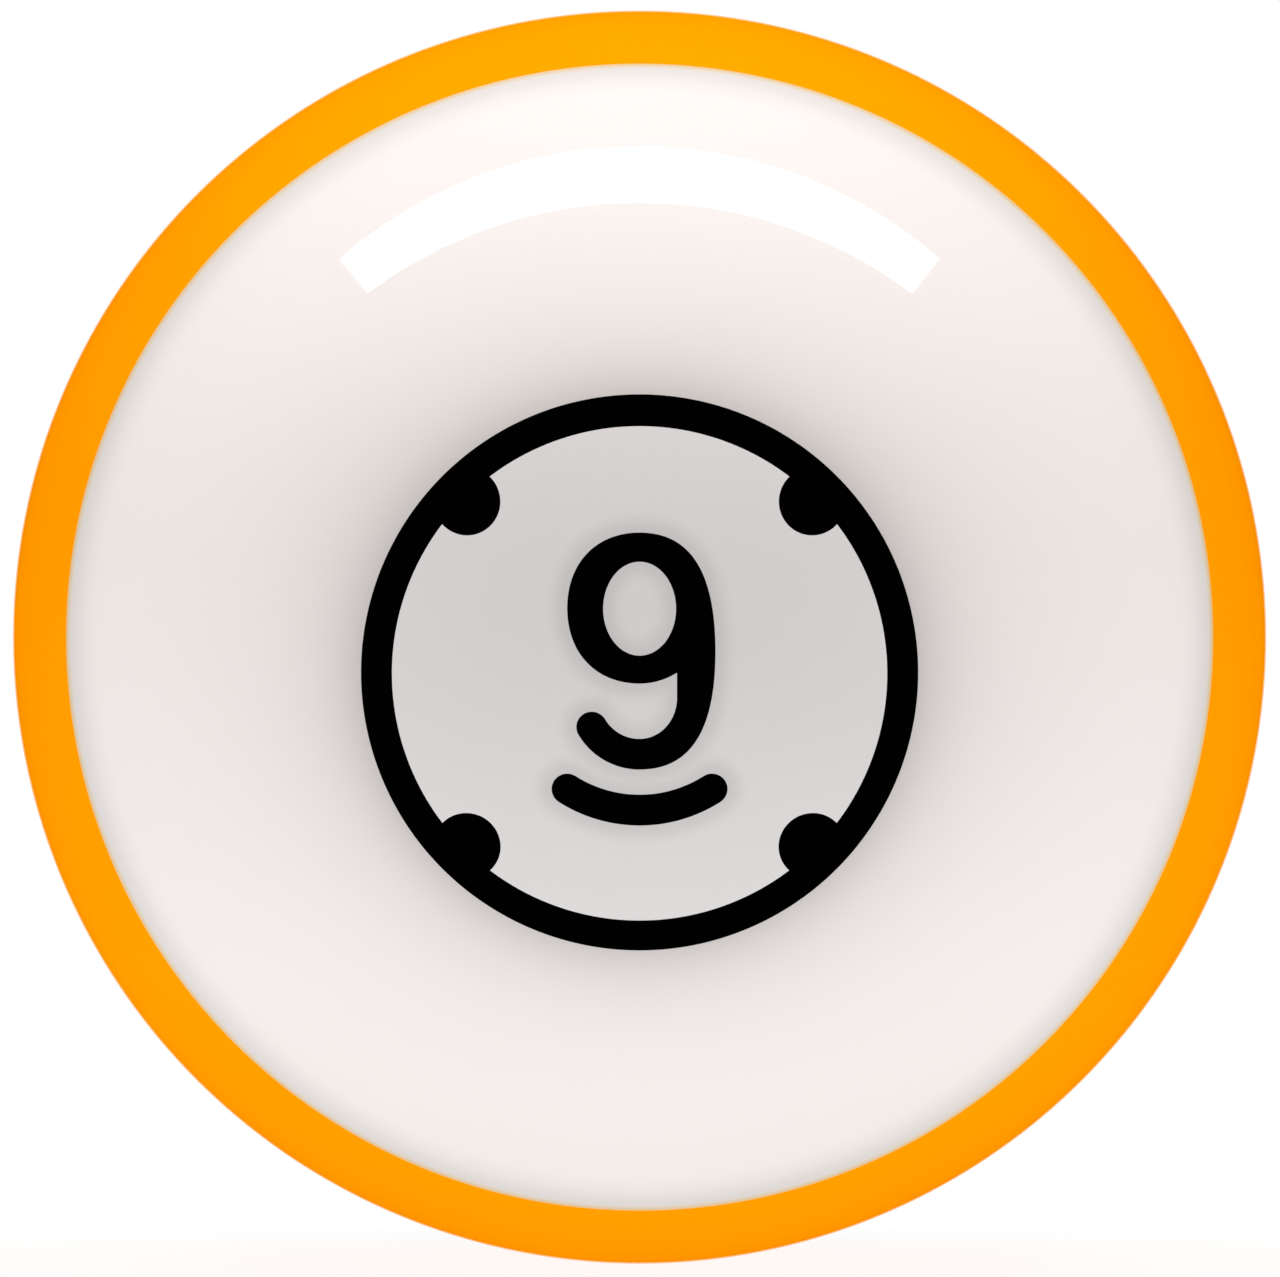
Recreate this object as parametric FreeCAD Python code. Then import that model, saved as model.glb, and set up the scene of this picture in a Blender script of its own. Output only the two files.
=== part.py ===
"""Numbered pool ball: a striped nine, cast in coloured resins that are bonded for life.

An orange slab runs right through the ball and shows outside as the stripe. A low dome on each of
its faces keys it into a white cap. Each cap has a round socket, and a number plug fills the socket:
a black ring, a white disc keyed into it, and a black nine and its underline set in pockets of the
disc. Every piece is ground flush with one sphere, and no piece moves.

Millimetres. The origin is the ball's centre and +Z is up. The stripe's axis is Y, and the plug at
-Y is the front one. The rear number is upside down, as on any numbered ball.
"""

import FreeCAD, Part
import os
from math import acos, cos, degrees, pi, radians, sin, sqrt

# The ball and its stripe
BALL_DIAMETER = 57.15
STRIPE_WIDTH = 26.0

# The dome on each face of the stripe's slab
DOME_DIAMETER = 22.0
DOME_HEIGHT = 4.0
DOME_ROOT_FILLET = 1.0

# The number plug and its socket
PLUG_DIAMETER = 24.0
PLUG_DEPTH = 7.0
PLUG_CORNER_RADIUS = 0.8
PLUG_TILT_DEG = 3.4  # the front number sits this far below the stripe's axis

# The plug's ring, with round lobes that key the disc
RING_WALL = 1.35
LOBE_COUNT = 4
LOBE_RADIUS = 1.45
LOBE_REACH = 1.6
FIRST_LOBE_DEG = 45.0

# The nine, on the face of the plug: right is +X and up is +Y, from the plug's axis
POCKET_DEPTH = 3.0
NINE_HEIGHT = 10.15
NINE_RISE = 1.07  # its middle, above the plug's axis
STEM_REACH = 3.25  # from the middle of the bowl to the stem's outer side
STEM_STROKE = 1.65
STEM_FULLNESS = 0.67  # of the curve's handles: 0.55 would make an ellipse, 1 a square corner
BOWL_REACH = 3.1
BOWL_HEIGHT = 6.44
BOWL_FULLNESS = 0.60
BOWL_SIDE_STROKE = 1.54
BOWL_TOP_STROKE = 1.24
BOWL_BASE_STROKE = 1.2
HOOK_RADIUS = 3.04
HOOK_STROKE = 1.33
HOOK_BEND_HEIGHT = 1.76  # where the hook's inside becomes the stem's straight inner side
HOOK_TIP_DEG = 210.5

# The underline, an arc round the plug's axis
UNDERLINE_RADIUS = 5.77
UNDERLINE_STROKE = 1.35
UNDERLINE_HALF_DEG = 32.5

ball_radius = BALL_DIAMETER / 2
stripe_half = STRIPE_WIDTH / 2
stripe_edge_radius = sqrt(ball_radius**2 - stripe_half**2)
dome_top = stripe_half + DOME_HEIGHT
plug_radius = PLUG_DIAMETER / 2
plug_floor = ball_radius - PLUG_DEPTH
disc_radius = plug_radius - RING_WALL
pocket_floor = ball_radius - POCKET_DEPTH
past_ball = ball_radius + 1.0  # a height that clears the ball, for cutters

CENTRE = FreeCAD.Vector(0, 0, 0)
AXIS_X = FreeCAD.Vector(1, 0, 0)
AXIS_Y = FreeCAD.Vector(0, 1, 0)
AXIS_Z = FreeCAD.Vector(0, 0, 1)


def point(x, y, z=0.0):
    return FreeCAD.Vector(x, y, z)


def on_circle(centre, radius, angle_deg):
    angle = radians(angle_deg)
    return centre + point(radius * cos(angle), radius * sin(angle))


def line(start, end):
    return Part.LineSegment(start, end).toShape()


def arc(centre, radius, start_deg, end_deg):
    """A circular arc from one angle to another, either way round."""
    angles = (start_deg, (start_deg + end_deg) / 2, end_deg)
    return Part.Arc(*(on_circle(centre, radius, angle) for angle in angles)).toShape()


def ellipse_arc(centre, reach_x, reach_y, start_deg, end_deg):
    """Part of an upright ellipse, counter-clockwise; a larger reach comes first in the curve."""
    if reach_x >= reach_y:
        ellipse = Part.Ellipse(centre, reach_x, reach_y)
        turn = 0.0
    else:
        ellipse = Part.Ellipse(centre + point(0, reach_y), centre - point(reach_x, 0), centre)
        turn = 90.0
    return Part.ArcOfEllipse(ellipse, radians(start_deg - turn), radians(end_deg - turn)).toShape()


def angle_of(p, centre):
    """The angle of a point round a centre, in degrees, from 0 to 360."""
    across = p - centre
    angle = degrees(acos(max(-1.0, min(1.0, across.x / across.Length))))
    return angle if across.y >= 0 else 360.0 - angle


# The stripe's slab and the caps: outlines in the plane of X and Y, turned about Y


def parting_edges():
    """Where the slab meets the front cap, from the ball's surface to the axis: face, fillet, dome."""
    dome_radius = ((DOME_DIAMETER / 2) ** 2 + DOME_HEIGHT**2) / (2 * DOME_HEIGHT)
    dome_centre = point(0, dome_radius - dome_top)
    fillet_y = -stripe_half - DOME_ROOT_FILLET
    fillet_x = sqrt((dome_radius + DOME_ROOT_FILLET) ** 2 - (fillet_y - dome_centre.y) ** 2)
    fillet_centre = point(fillet_x, fillet_y)
    dome_foot_deg = angle_of(fillet_centre, dome_centre)
    return [
        line(point(stripe_edge_radius, -stripe_half), point(fillet_x, -stripe_half)),
        arc(fillet_centre, DOME_ROOT_FILLET, 90.0, dome_foot_deg - 180.0),
        arc(dome_centre, dome_radius, dome_foot_deg, 270.0),
    ]


def turned(edges):
    face = Part.Face(Part.Wire(Part.__sortEdges__(edges)))
    return face.revolve(CENTRE, AXIS_Y, 360.0)


def stripe_core():
    rim_deg = angle_of(point(stripe_edge_radius, stripe_half), CENTRE)
    front = parting_edges()
    rear = [edge.mirror(CENTRE, AXIS_Y) for edge in front]
    rim = arc(CENTRE, ball_radius, -rim_deg, rim_deg)
    axis = line(point(0, -dome_top), point(0, dome_top))
    return turned([rim, axis, *front, *rear])


def cap():
    """The front cap, with the socket for its plug."""
    rim_deg = angle_of(point(stripe_edge_radius, -stripe_half), CENTRE)
    outside = arc(CENTRE, ball_radius, rim_deg, 270.0)
    axis = line(point(0, -dome_top), point(0, -ball_radius))
    socket = tilted(plug_cutter(past_ball))
    return turned([outside, axis, *parting_edges()]).cut(socket)


# The plug: upright shapes round the Z axis, which are then tilted to face the front


def ball():
    """The whole ball, with the seam of its surface on the side away from the plug."""
    sphere = Part.makeSphere(ball_radius, CENTRE, AXIS_X)
    sphere.rotate(CENTRE, AXIS_X, 180.0)
    return sphere


def tilted(shape):
    """Turns an upright plug piece to face the front, a little below the stripe's axis."""
    placed = shape.copy()
    placed.rotate(CENTRE, AXIS_X, 90.0 + PLUG_TILT_DEG)
    return placed


def prism(outline, floor, holes=()):
    """Stands an outline up from a floor to past the ball."""
    lifted = Part.Face([outline, *holes])
    lifted.translate(point(0, 0, floor))
    return lifted.extrude(point(0, 0, past_ball - floor))


def plug_cutter(top):
    """The socket's shape up to a given height: a round hole with a rounded corner at its floor."""
    blank = Part.makeCylinder(plug_radius, top - plug_floor, point(0, 0, plug_floor))
    floor_edge = [e for e in blank.Edges if e.Closed and e.BoundBox.ZMax < plug_floor + 0.1 * PLUG_DEPTH]
    return blank.makeFillet(PLUG_CORNER_RADIUS, floor_edge)


def disc_outline():
    """The disc's edge: arcs of its circle, with a round notch for each of the ring's lobes."""
    lobe_circle = disc_radius - LOBE_REACH + LOBE_RADIUS
    # Where a lobe's circle crosses the disc's, seen from the disc's centre and from the lobe's
    cos_disc = (disc_radius**2 + lobe_circle**2 - LOBE_RADIUS**2) / (2 * disc_radius * lobe_circle)
    cos_lobe = (disc_radius**2 - lobe_circle**2 - LOBE_RADIUS**2) / (2 * lobe_circle * LOBE_RADIUS)
    half_gap_deg = degrees(acos(cos_disc))
    half_open_deg = degrees(acos(cos_lobe))
    pitch_deg = 360.0 / LOBE_COUNT
    edges = []
    for i in range(LOBE_COUNT):
        lobe_deg = FIRST_LOBE_DEG + i * pitch_deg
        lobe_centre = on_circle(CENTRE, lobe_circle, lobe_deg)
        notch_start = lobe_deg + half_open_deg - 360.0
        edges.append(arc(lobe_centre, LOBE_RADIUS, notch_start, lobe_deg - half_open_deg))
        edges.append(arc(CENTRE, disc_radius, lobe_deg + half_gap_deg, lobe_deg + pitch_deg - half_gap_deg))
    return Part.Wire(Part.__sortEdges__(edges))


def quarter(centre, reach_x, reach_y, fullness):
    """A quarter turn from above or below a centre to its side: the signs of the reaches say which."""
    curve = Part.BezierCurve()
    curve.setPoles([
        centre + point(0, reach_y),
        centre + point(reach_x * fullness, reach_y),
        centre + point(reach_x, reach_y * fullness),
        centre + point(reach_x, 0),
    ])
    return curve.toShape()


def nine_outlines():
    """The nine's outer outline and its eye."""
    middle = point(0, NINE_RISE)
    top = NINE_RISE + NINE_HEIGHT / 2
    bottom = NINE_RISE - NINE_HEIGHT / 2
    bowl_centre = point(0, top - BOWL_HEIGHT / 2)
    hook_centre = point(0, bottom + HOOK_RADIUS)
    hook_inside = HOOK_RADIUS - HOOK_STROKE
    stem_inside = STEM_REACH - STEM_STROKE
    bend_centre = point(0, bottom + HOOK_STROKE + HOOK_BEND_HEIGHT)
    tip_centre = on_circle(hook_centre, HOOK_RADIUS - HOOK_STROKE / 2, HOOK_TIP_DEG)

    # The stem's inner side ends in the crotch, where it runs into the underside of the bowl
    crotch_deg = 360.0 - degrees(acos(stem_inside / BOWL_REACH))
    crotch_drop = BOWL_HEIGHT / 2 * sin(radians(crotch_deg))
    crotch = bowl_centre + point(stem_inside, crotch_drop)

    outline = [
        quarter(middle, STEM_REACH, NINE_HEIGHT / 2, STEM_FULLNESS),
        quarter(middle, STEM_REACH, -NINE_HEIGHT / 2, STEM_FULLNESS),
        arc(hook_centre, HOOK_RADIUS, 270.0, HOOK_TIP_DEG),
        arc(tip_centre, HOOK_STROKE / 2, HOOK_TIP_DEG, HOOK_TIP_DEG - 180.0),
        arc(hook_centre, hook_inside, HOOK_TIP_DEG, 270.0),
        ellipse_arc(bend_centre, stem_inside, HOOK_BEND_HEIGHT, 270.0, 360.0),
        line(bend_centre + point(stem_inside, 0), crotch),
        ellipse_arc(bowl_centre, BOWL_REACH, BOWL_HEIGHT / 2, 270.0, crotch_deg),
        quarter(bowl_centre, -BOWL_REACH, -BOWL_HEIGHT / 2, BOWL_FULLNESS),
        quarter(bowl_centre, -BOWL_REACH, BOWL_HEIGHT / 2, BOWL_FULLNESS),
    ]
    eye_half_height = (BOWL_HEIGHT - BOWL_TOP_STROKE - BOWL_BASE_STROKE) / 2
    eye_centre = point(0, top - BOWL_TOP_STROKE - eye_half_height)
    eye = ellipse_arc(eye_centre, BOWL_REACH - BOWL_SIDE_STROKE, eye_half_height, 0.0, 360.0)
    return Part.Wire(Part.__sortEdges__(outline)), Part.Wire([eye])


def underline_outline():
    half = UNDERLINE_STROKE / 2
    left, right = 270.0 - UNDERLINE_HALF_DEG, 270.0 + UNDERLINE_HALF_DEG
    edges = [
        arc(CENTRE, UNDERLINE_RADIUS + half, left, right),
        arc(on_circle(CENTRE, UNDERLINE_RADIUS, right), half, right, right + 180.0),
        arc(CENTRE, UNDERLINE_RADIUS - half, right, left),
        arc(on_circle(CENTRE, UNDERLINE_RADIUS, left), half, left - 180.0, left),
    ]
    return Part.Wire(Part.__sortEdges__(edges))


def nine():
    outline, eye = nine_outlines()
    return prism(outline, pocket_floor, [eye])


def underline():
    return prism(underline_outline(), pocket_floor)


def plug_pieces():
    """The plug's four castings, upright, each cut off by the ball's surface."""
    blank = plug_cutter(past_ball).common(ball())
    core = prism(disc_outline(), plug_floor)
    return {
        "number_ring": blank.cut(core),
        "number_disc": blank.common(core).cut(nine()).cut(underline()),
        "numeral_nine": nine().common(ball()),
        "numeral_underline": underline().common(ball()),
    }


def front_half():
    pieces = {name: tilted(shape) for name, shape in plug_pieces().items()}
    pieces["cap"] = cap()
    return pieces


def all_pieces():
    """Every node by name. The rear half is the front one turned half round about X."""
    pieces = {"stripe_core": stripe_core()}
    for name, shape in front_half().items():
        pieces["front_" + name] = shape
        rear = shape.copy()
        rear.rotate(CENTRE, AXIS_X, 180.0)
        pieces["rear_" + name] = rear
    return pieces


os.makedirs("parts", exist_ok=True)
total = 0.0
for name, shape in all_pieces().items():
    solid = shape.Solids[0]
    if len(shape.Solids) != 1 or not solid.isValid():
        raise ValueError(f"{name} is not one valid solid")
    solid.exportStep(f"parts/{name}.step")
    total += solid.Volume
    print(f"{name}: {solid.Volume:.2f} mm3, {len(solid.Faces)} faces")
print(f"all pieces {total:.2f} mm3, one ball {4 / 3 * pi * ball_radius**3:.2f} mm3")
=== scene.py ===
# %% [markdown]
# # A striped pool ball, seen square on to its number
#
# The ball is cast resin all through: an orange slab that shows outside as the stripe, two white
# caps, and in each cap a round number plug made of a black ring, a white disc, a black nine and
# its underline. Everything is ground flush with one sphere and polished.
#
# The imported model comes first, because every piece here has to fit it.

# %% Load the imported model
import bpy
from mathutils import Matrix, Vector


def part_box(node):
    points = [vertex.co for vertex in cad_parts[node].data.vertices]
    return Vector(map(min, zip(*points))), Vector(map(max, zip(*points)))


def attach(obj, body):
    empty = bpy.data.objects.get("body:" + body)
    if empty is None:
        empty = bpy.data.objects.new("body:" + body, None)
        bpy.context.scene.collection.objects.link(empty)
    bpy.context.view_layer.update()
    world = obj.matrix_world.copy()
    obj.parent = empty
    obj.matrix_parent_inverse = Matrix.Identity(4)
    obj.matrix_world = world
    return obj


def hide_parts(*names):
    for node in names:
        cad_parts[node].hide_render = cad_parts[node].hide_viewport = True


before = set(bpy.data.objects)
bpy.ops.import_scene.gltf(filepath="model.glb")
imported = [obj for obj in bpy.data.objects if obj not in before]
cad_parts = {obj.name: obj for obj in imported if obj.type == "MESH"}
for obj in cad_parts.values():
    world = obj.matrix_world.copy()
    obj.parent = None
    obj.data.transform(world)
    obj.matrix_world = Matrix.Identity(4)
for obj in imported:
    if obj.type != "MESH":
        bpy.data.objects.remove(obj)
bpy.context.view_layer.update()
print("nodes to dress:", ", ".join(sorted(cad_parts)))

# %% [markdown]
# ## Sizes
#
# These are the maker's sizes in millimetres, as on a drawing. Blender works in metres, so each
# mesh is scaled once, when it is made. The stripe's half width and the circle of its edge, which
# follows from the ball's radius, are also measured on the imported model: if the two ever disagree,
# the printed lines show it.

# %% Sizes of the ball
from math import acos, asin, cos, degrees, hypot, pi, radians, sin, sqrt, tan

MM = 0.001
BALL_RADIUS = 28.575
STRIPE_HALF = 13.0
STRIPE_EDGE_RADIUS = sqrt(BALL_RADIUS**2 - STRIPE_HALF**2)
PLUG_RADIUS = 12.0
PLUG_DEPTH = 7.0
PLUG_FLOOR = BALL_RADIUS - PLUG_DEPTH
PLUG_CORNER = 0.8
PLUG_TILT = radians(3.4)

cap_low, cap_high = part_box("front_cap")
print(f"stripe half {STRIPE_HALF}, packed {-cap_high.y / MM:.3f} mm")
print(f"across its edge {2 * STRIPE_EDGE_RADIUS:.3f}, packed {(cap_high.x - cap_low.x) / MM:.3f} mm")

# %% [markdown]
# ## Outlines on the face of the plug
#
# The nine, its underline and the notched edge of the disc are flat drawings with right as X and up
# as Y, which are later wrapped onto the ball. Each is made of arcs and curves, sampled finely
# enough that no corner shows. Both neighbours of a seam are built from the same samples, so their
# edges meet point for point and no light leaks between them.

# %% Curves to draw with
import numpy as np

STEP = 0.12  # the spacing of points along an outline
FEWEST_STEPS = 6  # along even the shortest arc
ARC_OVER_CHORD = 1.1  # a quarter turn is about this much longer than the line between its ends


def arc(centre, radius, start_deg, end_deg):
    """Points along a circular arc, without its last one, so that curves can follow each other."""
    count = max(FEWEST_STEPS, round(abs(radians(end_deg - start_deg)) * radius / STEP))
    angles = np.radians(np.linspace(start_deg, end_deg, count, endpoint=False))
    return np.column_stack([centre[0] + radius * np.cos(angles), centre[1] + radius * np.sin(angles)])


def oval_arc(centre, reach_x, reach_y, start_deg, end_deg):
    """The same along an upright oval."""
    points = arc((0, 0), (reach_x + reach_y) / 2, start_deg, end_deg)
    return np.array(centre) + points * (2 / (reach_x + reach_y)) * np.array([reach_x, reach_y])


def quarter(centre, reach_x, reach_y, fullness, backwards=False):
    """A quarter turn from above or below a centre to its side, fuller than an oval's."""
    handles = np.array([(0, 1), (fullness, 1), (1, fullness), (1, 0)]) * (reach_x, reach_y)
    count = round(hypot(reach_x, reach_y) * ARC_OVER_CHORD / STEP)
    t = np.linspace(0, 1, count + 1)[:, None]
    points = np.array(centre) + (
        (1 - t) ** 3 * handles[0]
        + 3 * (1 - t) ** 2 * t * handles[1]
        + 3 * (1 - t) * t**2 * handles[2]
        + t**3 * handles[3]
    )
    return points[::-1][:-1] if backwards else points[:-1]


def straight(start, end):
    """Points along a line, without its last one."""
    count = max(1, round(hypot(end[0] - start[0], end[1] - start[1]) / STEP))
    return np.linspace(start, end, count, endpoint=False)


print(f"points along an outline lie {STEP} mm apart")

# %% [markdown]
# The nine is drawn as a sign writer would: a full oval bowl, a stem that swells a little at its
# right side, and a hook that ends in a round tip. The walk goes once round the outside, and the
# eye of the bowl is a second loop.

# %% Draw the nine
NINE_HEIGHT = 10.15
NINE_RISE = 1.07  # its middle, above the plug's axis
STEM_REACH = 3.25  # from the middle of the bowl to the stem's outer side
STEM_STROKE = 1.65
STEM_FULLNESS = 0.67  # 0.55 would make an oval, and more is fuller
BOWL_REACH = 3.1
BOWL_HEIGHT = 6.44
BOWL_FULLNESS = 0.60
BOWL_SIDE_STROKE = 1.54
BOWL_TOP_STROKE = 1.24
BOWL_BASE_STROKE = 1.2
HOOK_RADIUS = 3.04
HOOK_STROKE = 1.33
HOOK_BEND_HEIGHT = 1.76  # from the hook's inside up to the stem's straight side
HOOK_TIP_DEG = 210.5


def nine_loops():
    """The loop round the outside and the loop round the eye."""
    half = NINE_HEIGHT / 2
    top, bottom = NINE_RISE + half, NINE_RISE - half
    middle = (0, NINE_RISE)
    bowl = (0, top - BOWL_HEIGHT / 2)
    hook = (0, bottom + HOOK_RADIUS)
    hook_inside = HOOK_RADIUS - HOOK_STROKE
    stem_inside = STEM_REACH - STEM_STROKE
    bend = (0, bottom + HOOK_STROKE + HOOK_BEND_HEIGHT)
    tip_reach = HOOK_RADIUS - HOOK_STROKE / 2
    tip_angle = radians(HOOK_TIP_DEG)
    tip = (tip_reach * cos(tip_angle), hook[1] + tip_reach * sin(tip_angle))
    crotch_deg = -degrees(acos(stem_inside / BOWL_REACH))
    crotch = (stem_inside, bowl[1] + BOWL_HEIGHT / 2 * sin(radians(crotch_deg)))
    outside = np.vstack([
        quarter(middle, STEM_REACH, half, STEM_FULLNESS),
        quarter(middle, STEM_REACH, -half, STEM_FULLNESS, backwards=True),
        arc(hook, HOOK_RADIUS, 270, HOOK_TIP_DEG),
        arc(tip, HOOK_STROKE / 2, HOOK_TIP_DEG, HOOK_TIP_DEG - 180),
        arc(hook, hook_inside, HOOK_TIP_DEG, 270),
        oval_arc(bend, stem_inside, HOOK_BEND_HEIGHT, -90, 0),
        straight((stem_inside, bend[1]), crotch),
        oval_arc(bowl, BOWL_REACH, BOWL_HEIGHT / 2, crotch_deg, -90),
        quarter(bowl, -BOWL_REACH, -BOWL_HEIGHT / 2, BOWL_FULLNESS),
        quarter(bowl, -BOWL_REACH, BOWL_HEIGHT / 2, BOWL_FULLNESS, backwards=True),
    ])
    eye_half = (BOWL_HEIGHT - BOWL_TOP_STROKE - BOWL_BASE_STROKE) / 2
    eye = oval_arc((0, top - BOWL_TOP_STROKE - eye_half), BOWL_REACH - BOWL_SIDE_STROKE, eye_half, 0, 360)
    return outside, eye


nine, nine_eye = nine_loops()
print(f"nine: {len(nine)} points round the outside, {len(nine_eye)} round the eye")

# %% [markdown]
# The underline is an arc round the plug's axis with round ends. The disc's edge is a circle with
# four round notches, where the ring's lobes reach in and key the two castings together.

# %% Draw the underline and the edge of the disc
UNDERLINE_RADIUS = 5.77
UNDERLINE_STROKE = 1.35
UNDERLINE_HALF_DEG = 32.5
RING_WALL = 1.35
LOBE_COUNT = 4
LOBE_RADIUS = 1.45
LOBE_REACH = 1.6
FIRST_LOBE_DEG = 45.0
DISC_RADIUS = PLUG_RADIUS - RING_WALL


def underline_loop():
    """An arc of even stroke with round ends."""
    half = UNDERLINE_STROKE / 2
    left, right = 270 - UNDERLINE_HALF_DEG, 270 + UNDERLINE_HALF_DEG

    def end_centre(angle_deg):
        angle = radians(angle_deg)
        return (UNDERLINE_RADIUS * cos(angle), UNDERLINE_RADIUS * sin(angle))

    return np.vstack([
        arc((0, 0), UNDERLINE_RADIUS + half, left, right),
        arc(end_centre(right), half, right, right + 180),
        arc((0, 0), UNDERLINE_RADIUS - half, right, left),
        arc(end_centre(left), half, left - 180, left),
    ])


def disc_loop():
    """The circle where the ring ends and the disc begins, with a notch for each lobe."""
    lobe_circle = DISC_RADIUS - LOBE_REACH + LOBE_RADIUS
    cos_disc = (DISC_RADIUS**2 + lobe_circle**2 - LOBE_RADIUS**2) / (2 * DISC_RADIUS * lobe_circle)
    cos_lobe = (DISC_RADIUS**2 - lobe_circle**2 - LOBE_RADIUS**2) / (2 * lobe_circle * LOBE_RADIUS)
    half_gap, half_open = degrees(acos(cos_disc)), degrees(acos(cos_lobe))
    pitch = 360 / LOBE_COUNT
    runs = []
    for i in range(LOBE_COUNT):
        at = FIRST_LOBE_DEG + i * pitch
        centre = (lobe_circle * cos(radians(at)), lobe_circle * sin(radians(at)))
        runs.append(arc(centre, LOBE_RADIUS, at - half_open, at + half_open - 360))
        runs.append(arc((0, 0), DISC_RADIUS, at + half_gap, at + pitch - half_gap))
    return np.vstack(runs)


underline = underline_loop()
disc_edge = disc_loop()
print(f"underline: {len(underline)} points, edge of the disc: {len(disc_edge)} points")

# %% [markdown]
# ## Castings
#
# Each casting is one closed mesh, collected as loops of points that are bridged and filled. Boolean
# cuts would give the same forms, but they leave long thin faces, and a polished surface shows those
# as ripples in its reflections. Built by hand, the faces on the outside stay small and even.
#
# A flat region with holes is filled by constrained Delaunay triangulation: the loops are its fixed
# edges, and a staggered grid of points inside keeps the triangles small where they have to follow
# the ball. Even and odd crossings decide what lies inside, so a hole, and an island in that hole,
# need no special care.

# %% Fill a flat region
from mathutils import Vector
from mathutils.geometry import delaunay_2d_cdt

CELL = 0.36  # the spacing of the grid inside a region that lies on the ball
EDGE_MARGIN = 0.7  # of a cell, that the grid keeps from an outline
SAME_POINT = 1e-7  # closer than this, two points count as one


def crossings_odd(points, loops):
    """For each point, whether a line to the right crosses the loops an odd number of times."""
    inside = np.zeros(len(points), bool)
    for loop in loops:
        following = np.roll(loop, -1, axis=0)
        for (x0, y0), (x1, y1) in zip(loop, following):
            spans = (y0 > points[:, 1]) != (y1 > points[:, 1])
            if y0 != y1:
                at = x0 + (points[:, 1] - y0) * (x1 - x0) / (y1 - y0)
                inside ^= spans & (points[:, 0] < at)
    return inside


def staggered_grid(loops, cell):
    """Grid points inside the loops, none closer to an outline than most of a cell."""
    edge = np.vstack(loops)
    low, high = edge.min(axis=0), edge.max(axis=0)
    rows = np.arange(low[1], high[1], cell * sqrt(3) / 2)
    grid = np.vstack([
        np.column_stack([x := np.arange(low[0] + (i % 2) * cell / 2, high[0], cell), np.full(len(x), y)])
        for i, y in enumerate(rows)
    ])
    grid = grid[crossings_odd(grid, loops)]
    nearest = np.array([np.min(np.hypot(*(edge - p).T)) for p in grid])
    return grid[nearest > EDGE_MARGIN * cell]


def fill(loops, cell=None):
    """Triangles inside the loops: (all points, triangles as indices). The loops' points come first."""
    points = np.vstack(loops)
    edges = []
    start = 0
    for loop in loops:
        last = start + len(loop) - 1
        edges += [(i, i + 1) for i in range(start, last)] + [(last, start)]
        start = last + 1
    if cell:
        points = np.vstack([points, staggered_grid(loops, cell)])
    out, _, triangles, *_ = delaunay_2d_cdt([Vector(p) for p in points], edges, [], 0, SAME_POINT)
    if len(out) != len(points):
        raise ValueError("two points of an outline coincide")
    middles = np.array([points[list(t)].mean(axis=0) for t in triangles])
    keep = crossings_odd(middles, loops)
    return points, [tuple(t) for t, k in zip(triangles, keep) if k]


print("the eye of the nine takes", len(fill([nine_eye])[1]), "triangles when it is flat")

# %% [markdown]
# A casting knows how to add a loop of points, bridge two loops with a band of faces, and close a
# region with a filled patch. Two things finish it. The faces are turned to face outwards, and on
# the ball's surface each corner gets the exact normal of the sphere, so that the polish mirrors
# as a true ball does, with no trace of the facets.

# %% The casting helper
import bmesh
import bpy
from mathutils import Matrix

ON_BALL = 1e-4  # how far from the sphere, in millimetres, a point may be and still lie on it


class Casting:
    """Collects the points and faces of one closed solid, in millimetres."""

    def __init__(self):
        self.points = []
        self.faces = []

    def loop(self, points):
        """Adds points and gives their numbers."""
        start = len(self.points)
        self.points += [tuple(p) for p in points]
        return list(range(start, len(self.points)))

    def bridge(self, first, second):
        """A band of four-sided faces between two closed loops with as many points."""
        count = len(first)
        for i in range(count):
            j = (i + 1) % count
            self.faces.append((first[i], first[j], second[j], second[i]))

    def fan(self, rim, middle):
        """Closes a loop with triangles to one point."""
        (centre,) = self.loop([middle])
        for i in range(len(rim)):
            self.faces.append((rim[i], rim[(i + 1) % len(rim)], centre))

    def patch(self, rims, loops, place, cell=None):
        """Fills a region whose outlines' points are already in the casting, as rims."""
        points, triangles = fill(loops, cell)
        known = [i for rim in rims for i in rim]
        index = known + self.loop([place(*p) for p in points[len(known):]])
        self.faces += [tuple(index[i] for i in t) for t in triangles]

    def mesh(self, name, turn=None):
        """The finished mesh, turned into place and scaled to metres."""
        shape = bmesh.new()
        corners = [shape.verts.new(p) for p in self.points]
        for face in self.faces:
            shape.faces.new([corners[i] for i in face])
        bmesh.ops.recalc_face_normals(shape, faces=shape.faces)
        mesh = bpy.data.meshes.new(name)
        shape.to_mesh(mesh)
        open_edges = sum(1 for edge in shape.edges if len(edge.link_faces) != 2)
        shape.free()
        normals = []
        for face in mesh.polygons:
            spots = [mesh.vertices[i].co for i in face.vertices]
            curved = all(abs(p.length - BALL_RADIUS) < ON_BALL for p in spots)
            face.use_smooth = curved
            normals += [p.normalized() if curved else face.normal for p in spots]
        if turn:
            normals = [turn.to_3x3() @ n for n in normals]
            mesh.transform(turn)
        mesh.transform(Matrix.Scale(MM, 4))
        mesh.normals_split_custom_set([tuple(n) for n in normals])
        print(f"{name}: {len(mesh.vertices)} points, {len(mesh.polygons)} faces, {open_edges} open edges")
        return mesh


def on_ball(x, y):
    """Lifts a point of the plug's drawing to the ball's surface."""
    return (x, y, sqrt(BALL_RADIUS**2 - x * x - y * y))


def at_height(height):
    """Lifts a point of the plug's drawing to a flat floor."""
    return lambda x, y: (x, y, height)
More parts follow.
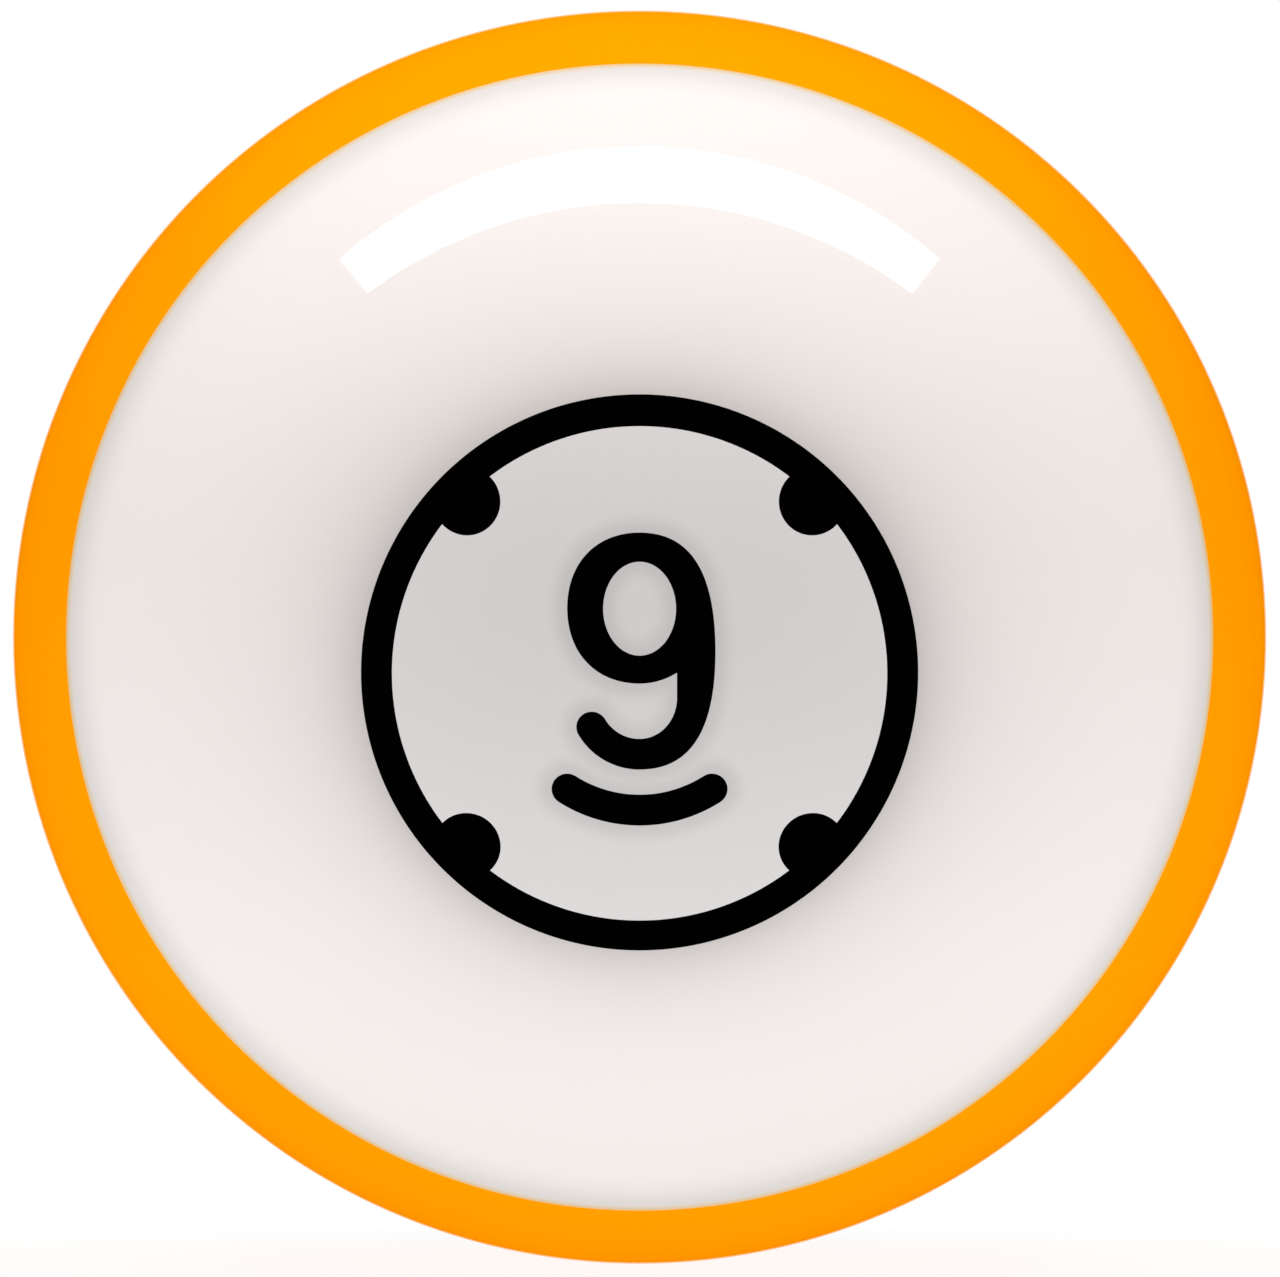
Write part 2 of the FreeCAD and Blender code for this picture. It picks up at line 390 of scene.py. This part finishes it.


# %% [markdown]
# ## The number plug
#
# The plug is built upright, with its axis along Z, and then tipped to face the front, a little
# below the stripe's axis. The ring is a tube whose bore is the disc's notched edge. The nine and
# the underline are inlays three millimetres deep, and the disc has pockets of the same outlines.
# The disc also keeps at each of its points how far it is from the black inlays, which sets the painted
# shade round them.

# %% Make the plug's four castings
POCKET_DEPTH = 3.0
POCKET_FLOOR = BALL_RADIUS - POCKET_DEPTH
ROUND_COUNT = 288  # points round the ball and round the plug
CORNER_STEPS = 6  # rings of faces round the socket's corner

plug_turn = Matrix.Rotation(pi / 2 + PLUG_TILT, 4, "X")
plug_circle = np.array([
    (PLUG_RADIUS * cos(2 * pi * i / ROUND_COUNT), PLUG_RADIUS * sin(2 * pi * i / ROUND_COUNT))
    for i in range(ROUND_COUNT)
])


def wall(casting, outline, top, floor):
    """A straight wall down from a loop on the ball to one on a floor; gives the lower loop."""
    low = casting.loop([(x, y, floor) for x, y in outline])
    casting.bridge(top, low)
    return low


def socket_wall(casting, top):
    """The plug's round side and the rounded corner at its floor; gives the corner's last loop."""
    last = top
    for i in range(CORNER_STEPS + 1):
        angle = pi / 2 * i / CORNER_STEPS
        shrink = (PLUG_RADIUS - PLUG_CORNER * (1 - cos(angle))) / PLUG_RADIUS
        height = PLUG_FLOOR + PLUG_CORNER * (1 - sin(angle))
        following = casting.loop([(x * shrink, y * shrink, height) for x, y in plug_circle])
        casting.bridge(last, following)
        last = following
    return last


def make_ring():
    """The tube between the socket's wall and the notched disc."""
    ring = Casting()
    outer = ring.loop([on_ball(*p) for p in plug_circle])
    inner = ring.loop([on_ball(*p) for p in disc_edge])
    ring.patch([outer, inner], [plug_circle, disc_edge], on_ball, CELL)
    base_outer = socket_wall(ring, outer)
    base_inner = wall(ring, disc_edge, inner, PLUG_FLOOR)
    base_circle = plug_circle * (1 - PLUG_CORNER / PLUG_RADIUS)
    ring.patch([base_outer, base_inner], [base_circle, disc_edge], at_height(PLUG_FLOOR))
    return ring.mesh("number_ring", plug_turn)


def make_disc():
    """The disc with its pockets, and each point's distance from the black inlays."""
    disc = Casting()
    loops = [disc_edge, nine, nine_eye, underline]
    rims = [disc.loop([on_ball(*p) for p in loop]) for loop in loops]
    disc.patch(rims, loops, on_ball, CELL)
    base = wall(disc, disc_edge, rims[0], PLUG_FLOOR)
    disc.patch([base], [disc_edge], at_height(PLUG_FLOOR))
    floors = [wall(disc, loop, rim, POCKET_FLOOR) for loop, rim in zip(loops[1:], rims[1:])]
    disc.patch(floors[:2], [nine, nine_eye], at_height(POCKET_FLOOR))
    disc.patch(floors[2:], [underline], at_height(POCKET_FLOOR))
    mesh = disc.mesh("number_disc", plug_turn)
    black = np.vstack(loops[1:])
    from_black = [np.min(np.hypot(black[:, 0] - x, black[:, 1] - y)) for x, y, _ in disc.points]
    mesh.attributes.new("from_black", "FLOAT", "POINT").data.foreach_set("value", from_black)
    return mesh


def make_inlay(name, loops):
    """A flush inlay with straight walls, as deep as its pocket."""
    inlay = Casting()
    rims = [inlay.loop([on_ball(*p) for p in loop]) for loop in loops]
    inlay.patch(rims, loops, on_ball, CELL)
    floors = [wall(inlay, loop, rim, POCKET_FLOOR) for loop, rim in zip(loops, rims)]
    inlay.patch(floors, loops, at_height(POCKET_FLOOR))
    return inlay.mesh(name, plug_turn)


ring_mesh = make_ring()
disc_mesh = make_disc()
nine_mesh = make_inlay("numeral_nine", [nine, nine_eye])
underline_mesh = make_inlay("numeral_underline", [underline])

# %% [markdown]
# ## The stripe's slab and the caps
#
# The slab is a revolve about the Y axis: the ball's surface outside, flat faces at each side, and
# a low dome on each face that keys the cap. The cap's outside runs from the stripe's edge, which
# is square to the Y axis, to the socket's mouth, which is tipped. Each ring of points in between
# is part of the way from one circle to the other along the ball, so the skew is shared out evenly.

# %% Make the slab and the cap
DOME_RADIUS = 11.0
DOME_HEIGHT = 4.0
DOME_FILLET = 1.0
DOME_STEPS = 12  # rings of faces up the dome,
FILLET_STEPS = 5  # round its root,
STRIPE_STEPS = 36  # across the stripe,
CAP_STEPS = 44  # and from the stripe's edge to the socket's mouth


def turned(radius, y):
    """A circle of points about the Y axis, starting at +X and turning towards +Z."""
    angles = [2 * pi * i / ROUND_COUNT for i in range(ROUND_COUNT)]
    return [(radius * cos(a), y, radius * sin(a)) for a in angles]


def parting_profile():
    """The slab's front face from its rim inwards as (radius, distance from the middle plane)."""
    dome = (DOME_RADIUS**2 + DOME_HEIGHT**2) / (2 * DOME_HEIGHT)
    dome_centre = STRIPE_HALF + DOME_HEIGHT - dome
    fillet_height = STRIPE_HALF + DOME_FILLET
    fillet_radius = sqrt((dome + DOME_FILLET) ** 2 - (fillet_height - dome_centre) ** 2)
    foot = asin(fillet_radius / (dome + DOME_FILLET))
    profile = []
    for i in range(FILLET_STEPS + 1):
        angle = foot * i / FILLET_STEPS
        radius = fillet_radius - DOME_FILLET * sin(angle)
        profile.append((radius, fillet_height - DOME_FILLET * cos(angle)))
    for i in range(1, DOME_STEPS):
        angle = foot * (1 - i / DOME_STEPS)
        profile.append((dome * sin(angle), dome_centre + dome * cos(angle)))
    return profile


def parting_face(casting, rim, side):
    """Closes a casting along the slab's face, front or rear, from a rim at the stripe's edge."""
    last = rim
    for radius, height in parting_profile():
        following = casting.loop(turned(radius, side * height))
        casting.bridge(last, following)
        last = following
    casting.fan(last, (0, side * (STRIPE_HALF + DOME_HEIGHT), 0))


def make_stripe():
    """The slab: a band of the ball's surface between two domed faces."""
    stripe = Casting()
    half_angle = asin(STRIPE_HALF / BALL_RADIUS)
    circles = []
    for i in range(STRIPE_STEPS + 1):
        angle = half_angle * (2 * i / STRIPE_STEPS - 1)
        circles.append(stripe.loop(turned(BALL_RADIUS * cos(angle), BALL_RADIUS * sin(angle))))
    for first, second in zip(circles, circles[1:]):
        stripe.bridge(first, second)
    parting_face(stripe, circles[0], -1)
    parting_face(stripe, circles[-1], 1)
    return stripe.mesh("stripe_core")


def make_cap():
    """The cap: the ball's surface from the stripe to the socket, the socket and the slab's face."""
    cap = Casting()
    edge = [Vector(p) for p in turned(STRIPE_EDGE_RADIUS, -STRIPE_HALF)]
    upright_mouth = [Vector(on_ball(*p)) for p in plug_circle]
    mouth = [plug_turn @ p for p in upright_mouth]
    circles = []
    for i in range(CAP_STEPS + 1):
        share = i / CAP_STEPS
        circle = [a.normalized().slerp(b.normalized(), share) * BALL_RADIUS for a, b in zip(edge, mouth)]
        circles.append(cap.loop(circle))
    for first, second in zip(circles, circles[1:]):
        cap.bridge(first, second)
    parting_face(cap, circles[0], -1)
    socket = Casting()
    lower = socket_wall(socket, socket.loop(upright_mouth))
    socket.fan(lower, (0, 0, PLUG_FLOOR))
    shift = len(cap.points) - ROUND_COUNT
    cap.loop([plug_turn @ Vector(p) for p in socket.points[ROUND_COUNT:]])
    place = {i: circles[-1][i] for i in range(ROUND_COUNT)}
    cap.faces += [tuple(place.get(i, i + shift) for i in face) for face in socket.faces]
    return cap.mesh("cap")


stripe_mesh = make_stripe()
cap_mesh = make_cap()

# %% [markdown]
# ## A small language for materials
#
# Node graphs are easier to read as formulas. A Number wraps one socket, and arithmetic on it adds
# Math nodes, so a line such as 1 - 0.3 * near_ring does what it says. Two falloffs come with it: a
# smooth step between two limits, and a decay that loses the same share with every further step.

# %% Numbers that vary over a surface
class Number:
    """One socket, with arithmetic that adds Math nodes."""

    def __init__(self, finish, socket):
        self.finish = finish
        self.socket = socket

    def math(self, operation, *values):
        node = self.finish.node("ShaderNodeMath", {"operation": operation}, dict(enumerate(values)))
        return Number(self.finish, node.outputs[0])

    def __add__(self, other):
        return self.math("ADD", self, other)

    def __sub__(self, other):
        return self.math("SUBTRACT", self, other)

    def __rsub__(self, other):
        return self.math("SUBTRACT", other, self)

    def __mul__(self, other):
        return self.math("MULTIPLY", self, other)

    __radd__ = __add__
    __rmul__ = __mul__

    def fade(self, start, end):
        """Nought before start, one after end, and smooth between."""
        ramp = self.finish.node(
            "ShaderNodeMapRange",
            {"interpolation_type": "SMOOTHSTEP"},
            {"Value": self, "From Min": start, "From Max": end},
        )
        return Number(self.finish, ramp.outputs["Result"])

    def die_off(self, start, length):
        """One up to start, then falling by the same share with every further step."""
        past = self.math("MAXIMUM", self - start, 0.0)
        return self.math("EXPONENT", past * (-1 / length))


print("a Number takes +, - and *, with a plain number on either side")

# %% [markdown]
# A Finish is one material, or the room round the scene. One method makes any node from its type,
# its settings and its inputs. The others measure where a point lies, read a number that was
# stored at the mesh's points, make soft noise, and mix or dim colours, which go through Mix and
# Vector Math nodes because a Math node would turn them grey. All places are taken in the piece's
# own space, whose origin is the ball's centre, so nothing slides when the camera moves.

# %% Finishes and their nodes
NOISE_ROUGHNESS = 0.5


class Finish:
    """A material or the room, and its nodes."""

    def __init__(self, owner, shader="Principled BSDF", place="Object"):
        owner.use_nodes = True
        self.owner = owner
        self.nodes = owner.node_tree.nodes
        self.links = owner.node_tree.links
        self.shader = self.nodes[shader]
        self.place = self.node("ShaderNodeTexCoord").outputs[place]

    def node(self, kind, settings=None, inputs=None):
        """Makes a node: its settings come first, then the values or links of its sockets."""
        made = self.nodes.new(kind)
        for name, value in (settings or {}).items():
            setattr(made, name, value)
        for key, value in (inputs or {}).items():
            self.feed(made.inputs[key], value)
        return made

    def feed(self, socket, value):
        """Links a socket to a Number or another socket, or sets it to a plain value."""
        if isinstance(value, Number):
            value = value.socket
        if isinstance(value, bpy.types.NodeSocket):
            self.links.new(value, socket)
        else:
            socket.default_value = value

    def along(self, axis):
        """How far a point lies along a direction through the ball's centre, in millimetres."""
        scaled = tuple(v / MM for v in axis)
        made = self.node("ShaderNodeVectorMath", {"operation": "DOT_PRODUCT"}, {0: self.place, 1: scaled})
        return Number(self, made.outputs["Value"])

    def away_from(self, axis):
        """How far a point lies from a line through the ball's centre, in millimetres."""
        scaled = tuple(v / MM for v in axis)
        inputs = {0: self.place, 1: scaled}
        across = self.node("ShaderNodeVectorMath", {"operation": "CROSS_PRODUCT"}, inputs).outputs[0]
        made = self.node("ShaderNodeVectorMath", {"operation": "LENGTH"}, {0: across})
        return Number(self, made.outputs["Value"])

    def stored(self, name):
        """A number kept at the points of the mesh."""
        made = self.node("ShaderNodeAttribute", {"attribute_name": name})
        return Number(self, made.outputs["Fac"])

    def noise(self, pitch, detail):
        """Soft random cloudiness; pitch is the size of a cloud in millimetres."""
        inputs = {"Vector": self.place, "Scale": 1 / (pitch * MM), "Detail": detail}
        made = self.node("ShaderNodeTexNoise", None, inputs | {"Roughness": NOISE_ROUGHNESS})
        return Number(self, made.outputs["Fac"])

    def mix(self, factor, first, second):
        """A colour between two others."""
        inputs = {"Factor": factor, 6: first, 7: second}
        return self.node("ShaderNodeMix", {"data_type": "RGBA"}, inputs).outputs[2]

    def dim(self, colour, share):
        """A colour times a number."""
        made = self.node("ShaderNodeVectorMath", {"operation": "SCALE"}, {0: colour, "Scale": share})
        return made.outputs[0]

    def surface(self, **values):
        """Feeds the shader's own sockets, named with underscores for spaces."""
        for name, value in values.items():
            self.feed(self.shader.inputs[name.replace("_", " ")], value)

    def show(self, output):
        """Makes an output the surface, in place of the shader."""
        self.links.new(output, self.nodes["Material Output"].inputs["Surface"])

    def done(self):
        """Prints what was made and gives it."""
        print(f"{self.owner.name}: {len(self.nodes)} nodes")
        return self.owner


def tint(red, green, blue):
    """A colour as sockets take it, with nothing see-through."""
    return (red, green, blue, 1.0)


WHITE = tint(1.0, 1.0, 1.0)
print("colours are linear, so white is", WHITE)

# %% [markdown]
# ## Polished resin
#
# Cast resin is hard and takes a deep polish. A very low roughness gives that, and a little soft
# noise in it stands for the polisher's hand. A picture wrapped round the ball could hold the same
# marks, but noise in the ball's own space has no seams and no poles.

# %% The polish
POLISH = 0.03
HAZE = 0.02
HAZE_PITCH = 4.0
HAZE_DETAIL = 4.0
CLOUD_DETAIL = 3.0


def polish(finish):
    """A very low roughness that wanders a little, as hand polishing leaves it."""
    return POLISH + HAZE * finish.noise(HAZE_PITCH, HAZE_DETAIL)


print(f"roughness {POLISH} to {POLISH + HAZE}")

# %% [markdown]
# The orange stripe shows its rim at a grazing angle, where a full gloss would swap its colour for
# a mirror image of the dark studio and draw a brown line round the ball. So the gloss is a thin
# clear skin on a matt body: the Coat's weight says how much light the skin takes, and the body
# keeps the rest of the colour up to the very edge.

# %% Orange resin
ORANGES = tint(0.98, 0.292, 0.0), tint(1.0, 0.304, 0.0)
ORANGE_CLOUD = 9.0
SKIN = 0.32
SKIN_WANDER = 0.06


def orange_resin():
    finish = Finish(bpy.data.materials.new("orange_resin"))
    cloud = finish.noise(ORANGE_CLOUD, CLOUD_DETAIL)
    colour = finish.mix(cloud, *ORANGES)
    skin = SKIN + SKIN_WANDER * finish.noise(HAZE_PITCH, HAZE_DETAIL)
    finish.surface(Base_Color=colour, Roughness=polish(finish), Specular_IOR_Level=0.0)
    finish.surface(Coat_Weight=skin, Coat_Roughness=POLISH)
    return finish.done()


finishes = {"orange_resin": orange_resin()}

# %% [markdown]
# White resin lets light in, where it scatters and comes out a little way off. Beside the black ring
# that light is lost, so the white is darkened towards the ring with painted shade, and a little
# towards the stripe too. An orange tint on the last half millimetre of the cap is painted light, for
# light that has come through the stripe. True scattering would take long to render and an exported
# model drops it, so the painted shade and tint are written as falloffs by distance: from the plug's axis,
# and from the ball's middle plane.

# %% White resin
PLUG_AXIS = tuple(plug_turn.to_3x3() @ Vector((0, 0, 1)))
FRONT = (0, -1, 0)
CAP_WHITES = tint(0.802, 0.746, 0.723), tint(0.818, 0.760, 0.737)
# the orange of the painted light on the cap's edge beside the stripe
STRIPE_LIGHT_TINT = tint(0.75, 0.45, 0.03)
WHITE_CLOUD = 12.0
# how strong and how wide the painted shade is beside the ring and the stripe
RING_SHADE = 0.3
RING_SHADE_REACH = 1.7
STRIPE_SHADE = 0.16
STRIPE_SHADE_REACH = 2.8
STRIPE_GLOW = 0.6
STRIPE_GLOW_REACH = 0.5


def white_resin():
    finish = Finish(bpy.data.materials.new("white_resin"))
    cloud = finish.noise(WHITE_CLOUD, CLOUD_DETAIL)
    colour = finish.mix(cloud, *CAP_WHITES)
    # painted shade: the white is darker towards the black ring and towards the stripe
    near_ring = finish.away_from(PLUG_AXIS).die_off(PLUG_RADIUS, RING_SHADE_REACH)
    past_stripe = finish.along(FRONT).fade(STRIPE_HALF, STRIPE_HALF + STRIPE_SHADE_REACH)
    shade = (1 - RING_SHADE * near_ring) * ((1 - STRIPE_SHADE) + STRIPE_SHADE * past_stripe)
    # painted light: an orange tint on the last half millimetre of the cap beside the stripe
    past_glow = finish.along(FRONT).fade(STRIPE_HALF, STRIPE_HALF + STRIPE_GLOW_REACH)
    unglowed = (1 - STRIPE_GLOW) + STRIPE_GLOW * past_glow
    colour = finish.mix(unglowed, STRIPE_LIGHT_TINT, finish.dim(colour, shade))
    finish.surface(Base_Color=colour, Roughness=polish(finish))
    return finish.done()


finishes["white_resin"] = white_resin()

# %% [markdown]
# The disc's white is darker than the cap's, as painted shade for the light lost into the black
# ring that closes round it. It is darkened further close to the nine and the underline, as
# painted shade for the same reason, by the distance that was stored at its points.

# %% The disc's white resin
# darker than the cap's whites: painted shade for the black ring round the disc
DISC_WHITES = tint(0.674, 0.643, 0.637), tint(0.690, 0.657, 0.651)
DISC_CLOUD = 8.0
NUMERAL_SHADE = 0.15
NUMERAL_SHADE_REACH = 1.0


def number_white_resin():
    finish = Finish(bpy.data.materials.new("number_white_resin"))
    cloud = finish.noise(DISC_CLOUD, CLOUD_DETAIL)
    colour = finish.mix(cloud, *DISC_WHITES)
    # painted shade: darker close to the nine and the underline
    past_black = finish.stored("from_black").fade(0.0, NUMERAL_SHADE_REACH)
    colour = finish.dim(colour, (1 - NUMERAL_SHADE) + NUMERAL_SHADE * past_black)
    finish.surface(Base_Color=colour, Roughness=polish(finish))
    return finish.done()


finishes["number_white_resin"] = number_white_resin()

# %% [markdown]
# The ring, the nine and the underline are one black resin, coloured right through. It returns next
# to no light of its own, so all that is seen of it is its polish.

# %% Black resin
BLACKS = tint(0.0002, 0.0002, 0.0002), tint(0.0006, 0.0006, 0.0006)
BLACK_CLOUD = 6.0


def black_resin():
    finish = Finish(bpy.data.materials.new("black_resin"))
    cloud = finish.noise(BLACK_CLOUD, CLOUD_DETAIL)
    colour = finish.mix(cloud, *BLACKS)
    finish.surface(Base_Color=colour, Roughness=polish(finish))
    return finish.done()


finishes["black_resin"] = black_resin()

# %% [markdown]
# ## Assembly
#
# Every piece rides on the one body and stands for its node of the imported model. The rear half of
# the ball is the front half turned upside down and round to the back, so it shares its meshes.

# %% Put the pieces in place
half_turn = Matrix.Rotation(pi, 4, "X")
placed = []


def piece(name, mesh, resin, turn=None):
    """Puts a mesh in the scene, in its finish, as the look of one node."""
    made = bpy.data.objects.new(name + "_look", mesh)
    bpy.context.scene.collection.objects.link(made)
    if turn:
        made.matrix_world = turn
    if not mesh.materials:
        mesh.materials.append(finishes[resin])
    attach(made, "root")
    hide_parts(name)
    placed.append(name)


piece("stripe_core", stripe_mesh, "orange_resin")
for side, turn in (("front", None), ("rear", half_turn)):
    piece(f"{side}_cap", cap_mesh, "white_resin", turn)
    piece(f"{side}_number_ring", ring_mesh, "black_resin", turn)
    piece(f"{side}_number_disc", disc_mesh, "number_white_resin", turn)
    piece(f"{side}_numeral_nine", nine_mesh, "black_resin", turn)
    piece(f"{side}_numeral_underline", underline_mesh, "black_resin", turn)
print("dressed:", ", ".join(placed))

# %% [markdown]
# ## The lamps
#
# A long soft box hangs over the ball. Its mirror image is the curved strip high on the cap, so its
# length, depth and place are set by where that strip lies. Two wide lamps behind wash the sides,
# and three low ones, just above the floor and facing up, give back the light that a bright table
# returns to the underside. The camera sees none of the lamps, and the ball's polish mirrors only
# the soft box. The room and the floor are dark to it too, which is what keeps the blacks black.

# %% Lamps
FLOOR_LEVEL = -BALL_RADIUS * MM
LIFT = 0.00002  # a hair above the floor, to light the ball down to where it stands
LOW = FLOOR_LEVEL + LIFT
DOWN = (0, 0, -1)
UP = (0, 0, 1)
COOL = (0.94, 1.05, 1.08)  # a shade bluer than white
BOX_LENGTH = 0.79
BOX_DEPTH = 0.126
BOX_PLACE = (0, 0.004, 0.5)
BOX_RADIANCE = 8.8
WASH_SIZE = 0.4
WASH_OUT = 0.5  # how far a wash stands to the side,
WASH_BACK = 0.2  # behind the ball
WASH_RISE = 0.1  # and above its centre
WASH_RADIANCE = 0.5
FILL_SIZE = 0.16
FILL_RADIANCE = 0.28
FLANK_WIDTH = 0.08
FLANK_OUT = 0.07
FLANK_RADIANCE = 0.32
SIDES = (("left", -1), ("right", 1))


def lamp(name, length, depth, place, aim, radiance, mirrored=False, colour=(1, 1, 1)):
    """An even rectangular light, as bright over its face as the radiance says."""
    data = bpy.data.lights.new(name, "AREA")
    data.shape = "RECTANGLE"
    data.size = length
    data.size_y = depth
    data.energy = radiance * pi * length * depth
    data.color = colour
    made = bpy.data.objects.new(name, data)
    made.location = place
    made.rotation_euler = Vector(aim).to_track_quat("-Z", "Y").to_euler()
    made.visible_camera = False
    made.visible_glossy = mirrored
    bpy.context.scene.collection.objects.link(made)
    print(f"{name}: {data.energy:.3f} W")


lamp("soft_box", BOX_LENGTH, BOX_DEPTH, BOX_PLACE, DOWN, BOX_RADIANCE, mirrored=True)
for side, sign in SIDES:
    place = (sign * WASH_OUT, WASH_BACK, WASH_RISE)
    at_ball = tuple(-v for v in place)
    lamp(f"{side}_wash", WASH_SIZE, WASH_SIZE, place, at_ball, WASH_RADIANCE)
lamp("under_fill", FILL_SIZE, FILL_SIZE, (0, 0, LOW), UP, FILL_RADIANCE, colour=COOL)
for side, sign in SIDES:
    place = (sign * FLANK_OUT, 0, LOW)
    lamp(f"{side}_under", FLANK_WIDTH, FILL_SIZE, place, UP, FLANK_RADIANCE, colour=COOL)

# %% [markdown]
# ## The floor and the card
#
# The floor is plain white. Most of its brightness is a glow of its own, so that it is as white as
# the room behind it, and the rest is a matt surface that takes the ball's soft shadow. The glow
# rises to full away from the ball, so the floor has no edge to be seen. From below it is clear.
# The card stands far behind the ball, as white as the room, for the rim's polish to mirror: it
# gives the outline its thin pale edge.

# %% Floor and card
FLOOR_RADIUS = 2.0
FLOOR_WHITE = tint(0.9, 0.9, 0.9)
FLOOR_GLOW = 0.90
GLOW_FADE = (70.0, 350.0)  # where the glow starts to rise and where it is full, in millimetres
CARD_RADIUS = 0.31
CARD_PLACE = (0, 1.5, 0)
ROUND_EDGE = 96  # points round a sheet


def white_floor():
    finish = Finish(bpy.data.materials.new("white_floor"))
    finish.surface(Base_Color=FLOOR_WHITE, Roughness=1.0)
    glow = FLOOR_GLOW + (1 - FLOOR_GLOW) * finish.away_from(UP).fade(*GLOW_FADE)
    lit = finish.node("ShaderNodeEmission", None, {"Color": WHITE, "Strength": 1.0}).outputs[0]
    clear = finish.node("ShaderNodeBsdfTransparent").outputs[0]
    above = finish.node("ShaderNodeMixShader", None, {0: glow, 1: finish.shader.outputs[0], 2: lit})
    below = finish.node("ShaderNodeNewGeometry").outputs["Backfacing"]
    mixed = finish.node("ShaderNodeMixShader", None, {0: below, 1: above.outputs[0], 2: clear})
    finish.show(mixed.outputs[0])
    return finish.done()


def white_card():
    finish = Finish(bpy.data.materials.new("white_card"))
    finish.show(finish.node("ShaderNodeEmission", None, {"Color": WHITE, "Strength": 1.0}).outputs[0])
    return finish.done()


def round_sheet(name, radius, place, material, tilt=0.0, mirrored=True):
    """A flat round sheet that belongs to the studio and not to the ball."""
    bpy.ops.mesh.primitive_circle_add(
        vertices=ROUND_EDGE, radius=radius, fill_type="NGON", location=place, rotation=(tilt, 0, 0)
    )
    made = bpy.context.object
    made.name = name
    made.data.materials.append(material)
    made.visible_glossy = mirrored


round_sheet("floor", FLOOR_RADIUS, (0, 0, FLOOR_LEVEL), white_floor(), mirrored=False)
round_sheet("card", CARD_RADIUS, CARD_PLACE, white_card(), tilt=pi / 2)

# %% [markdown]
# ## The room
#
# The room lights the ball softly from every side. It is white at the height of the horizon and a
# little darker above, where the soft box takes over. A strength of one is just enough for it to
# come out white, and puts no more light on the ball than that.

# %% Room
ROOM_TOP = 0.65
ROOM_FADE = (0.08, 0.26)  # the heights on a unit sphere between which it gets darker


def surroundings():
    world = bpy.data.worlds.new("white_room")
    bpy.context.scene.world = world
    room = Finish(world, "Background", "Generated")
    height = room.node("ShaderNodeSeparateXYZ", None, {0: room.place}).outputs["Z"]
    room.surface(Color=WHITE, Strength=1 - (1 - ROOM_TOP) * Number(room, height).fade(*ROOM_FADE))
    world.cycles_visibility.glossy = False
    room.done()


surroundings()

# %% [markdown]
# ## The camera
#
# The camera is level with the ball's centre and square to the cap, 450 millimetres away, with a
# long lens. The focal length follows from the ball's size in the picture, and a tiny shift puts
# its centre where the picture has it.

# %% Camera
PICTURE_WIDTH = 1280
PICTURE_HEIGHT = 1277
BALL_PIXELS = 626.62  # the ball's radius in the picture
BALL_AT = (639.59, 637.14)  # its centre there, from the top left
CAMERA_DISTANCE = 0.450
NEAREST = 0.05  # nothing closer to the camera is drawn
SENSOR = 36.0

edge_angle = asin(BALL_RADIUS * MM / CAMERA_DISTANCE)
focal_pixels = BALL_PIXELS / tan(edge_angle)
view = bpy.data.cameras.new("camera")
view.sensor_width = SENSOR
view.lens = focal_pixels * SENSOR / PICTURE_WIDTH
view.shift_x = (PICTURE_WIDTH / 2 - BALL_AT[0]) / PICTURE_WIDTH
view.shift_y = (BALL_AT[1] - PICTURE_HEIGHT / 2) / PICTURE_WIDTH
view.clip_start = NEAREST
camera = bpy.data.objects.new("camera", view)
camera.location = (0, -CAMERA_DISTANCE, 0)
camera.rotation_euler = (pi / 2, 0, 0)
bpy.context.scene.collection.objects.link(camera)
bpy.context.scene.camera = camera
bpy.context.scene.view_settings.view_transform = "Standard"
print(f"lens {view.lens:.2f} mm, shift {view.shift_x:.5f}, {view.shift_y:.5f}")
